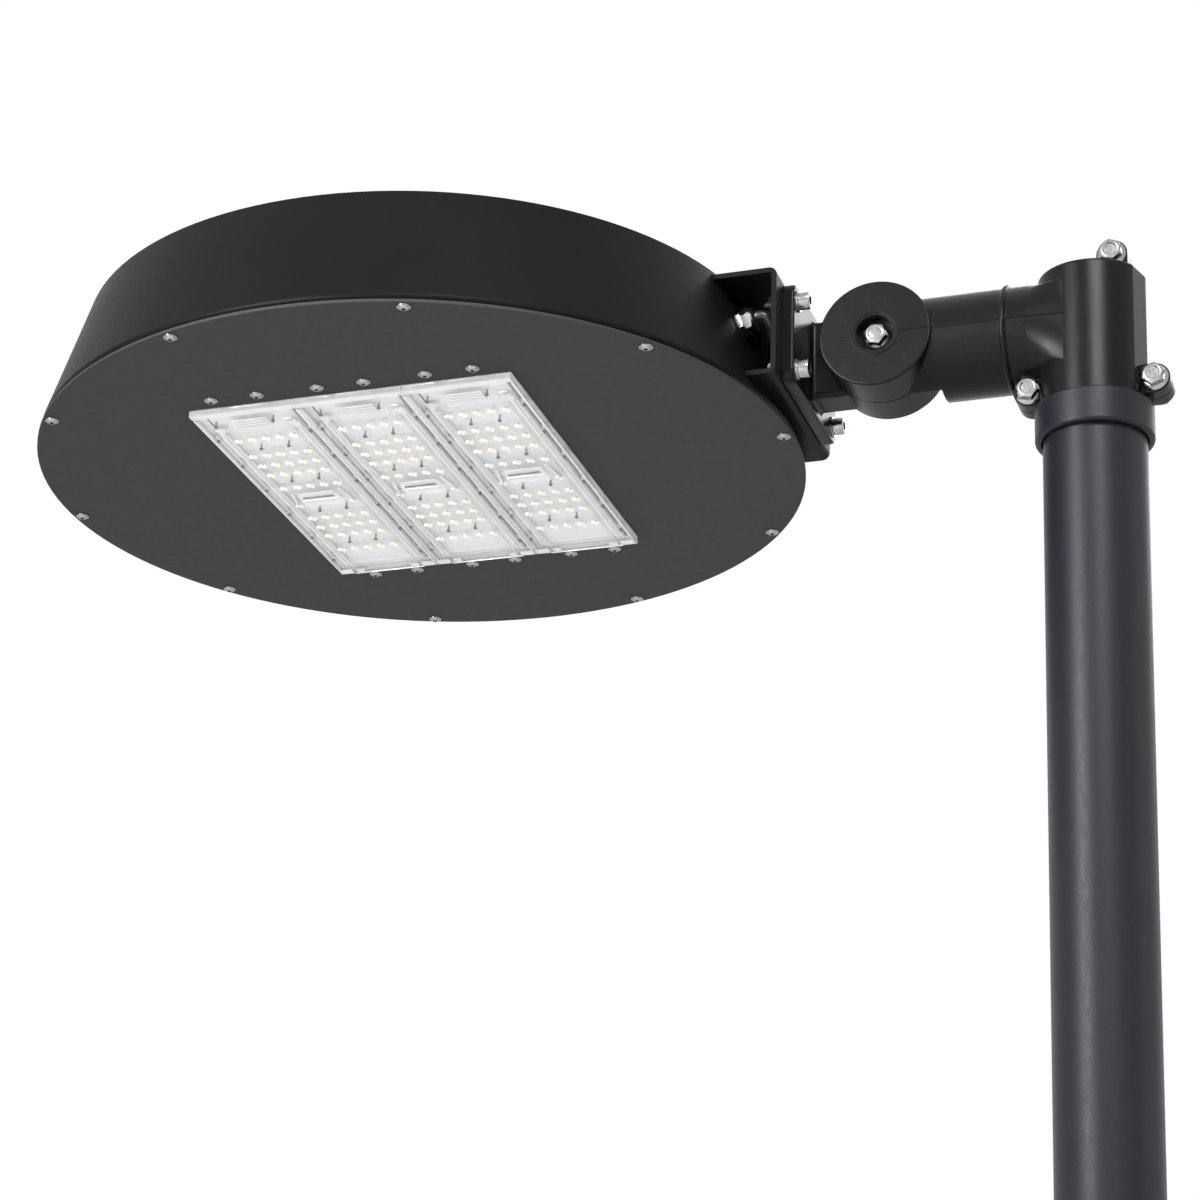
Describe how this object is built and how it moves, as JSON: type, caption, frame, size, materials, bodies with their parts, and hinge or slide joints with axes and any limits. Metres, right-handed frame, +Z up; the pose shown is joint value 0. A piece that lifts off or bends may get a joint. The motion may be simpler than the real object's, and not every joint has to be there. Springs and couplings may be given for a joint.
{
  "type": "street light",
  "caption": "LED street light: a shallow tapered drum luminaire with clear-covered modules, on a tilting knuckle and slip-fitter arm clamped to the spigot of a round pole section.",
  "frame": {"origin": "Centre of the pole section's lower end, on the plane of its end face.", "axes": "+Z is up along the pole. -X points from the pole out to the luminaire. -Y is the side that faces the viewer, where the bolt heads are."},
  "size_m": [0.8854, 0.6, 0.7435],
  "materials": {
    "pole_tube": "blue-black powder coat on steel tube",
    "pole_tenon": "blue-black powder coat on steel tube",
    "pole_collar": "satin black powder coat",
    "slipfitter_arm": "satin black powder coat on a die casting",
    "clamp_cap": "satin black powder coat on a die casting",
    "knuckle_flange": "satin black powder coat on a die casting",
    "clamp_bolts": "bright stainless steel",
    "clamp_nuts": "bright stainless steel",
    "pivot_bolt": "bright stainless steel",
    "pivot_nut": "bright stainless steel",
    "flange_screws": "bright stainless steel",
    "flange_washers": "bright stainless steel",
    "flange_nuts": "bright stainless steel",
    "cover_screws": "bright stainless steel",
    "lens_screws": "bright stainless steel",
    "module_screws": "bright stainless steel",
    "tray_nuts": "bright stainless steel",
    "side_bracket": "satin black powder coat on folded steel",
    "drum_shell": "satin black powder coat on spun aluminium",
    "cover_plate": "matt black powder coat on aluminium sheet",
    "cover_gasket": "soft black rubber",
    "lens_seals": "soft black rubber",
    "gland_washer": "soft black rubber",
    "wire_grommet": "soft black rubber",
    "module_heatsink_1": "plain extruded aluminium",
    "module_heatsink_2": "plain extruded aluminium",
    "module_heatsink_3": "plain extruded aluminium",
    "led_board_1": "white solder mask on an aluminium core",
    "led_board_2": "white solder mask on an aluminium core",
    "led_board_3": "white solder mask on an aluminium core",
    "led_chips_1": "yellow phosphor",
    "led_chips_2": "yellow phosphor",
    "led_chips_3": "yellow phosphor",
    "lens_cover_1": "clear moulded polycarbonate",
    "lens_cover_2": "clear moulded polycarbonate",
    "lens_cover_3": "clear moulded polycarbonate",
    "gear_tray": "zinc-plated sheet steel",
    "led_driver": "plain aluminium case, potted",
    "surge_protector": "light grey moulded plastic",
    "terminal_block": "light grey moulded plastic",
    "gland_body": "bright nickel plate on brass",
    "gland_cap": "bright nickel plate on brass",
    "gland_lock_nut": "bright nickel plate on brass",
    "supply_cable": "smooth black sheath"
  },
  "bodies": {
    "pole": {"pole_tube": "pole_tube", "pole_tenon": "pole_tenon", "pole_collar": "pole_collar"},
    "slipfitter": {"slipfitter_arm": "slipfitter_arm", "clamp_cap": "clamp_cap", "clamp_bolts": "clamp_bolts", "clamp_nuts": "clamp_nuts", "pivot_bolt": "pivot_bolt", "pivot_nut": "pivot_nut"},
    "head": {"knuckle_flange": "knuckle_flange", "flange_screws": "flange_screws", "flange_washers": "flange_washers", "flange_nuts": "flange_nuts", "cover_screws": "cover_screws", "lens_screws": "lens_screws", "module_screws": "module_screws", "tray_nuts": "tray_nuts", "side_bracket": "side_bracket", "drum_shell": "drum_shell", "cover_plate": "cover_plate", "cover_gasket": "cover_gasket", "lens_seals": "lens_seals", "gland_washer": "gland_washer", "wire_grommet": "wire_grommet", "module_heatsink_1": "module_heatsink_1", "module_heatsink_2": "module_heatsink_2", "module_heatsink_3": "module_heatsink_3", "led_board_1": "led_board_1", "led_board_2": "led_board_2", "led_board_3": "led_board_3", "led_chips_1": "led_chips_1", "led_chips_2": "led_chips_2", "led_chips_3": "led_chips_3", "lens_cover_1": "lens_cover_1", "lens_cover_2": "lens_cover_2", "lens_cover_3": "lens_cover_3", "gear_tray": "gear_tray", "led_driver": "led_driver", "surge_protector": "surge_protector", "terminal_block": "terminal_block", "gland_body": "gland_body", "gland_cap": "gland_cap", "gland_lock_nut": "gland_lock_nut", "supply_cable": "supply_cable"}
  },
  "joints": [
    {"name": "aim", "type": "hinge", "parent": "pole", "child": "slipfitter", "pos_m": [0, 0, 0.65], "axis": [0, 0, 1], "range_deg": [-180, 180]},
    {"name": "tilt", "type": "hinge", "parent": "slipfitter", "child": "head", "pos_m": [-0.155, 0, 0.676], "axis": [0, 1, 0], "range_deg": [-90, 90]}
  ]
}
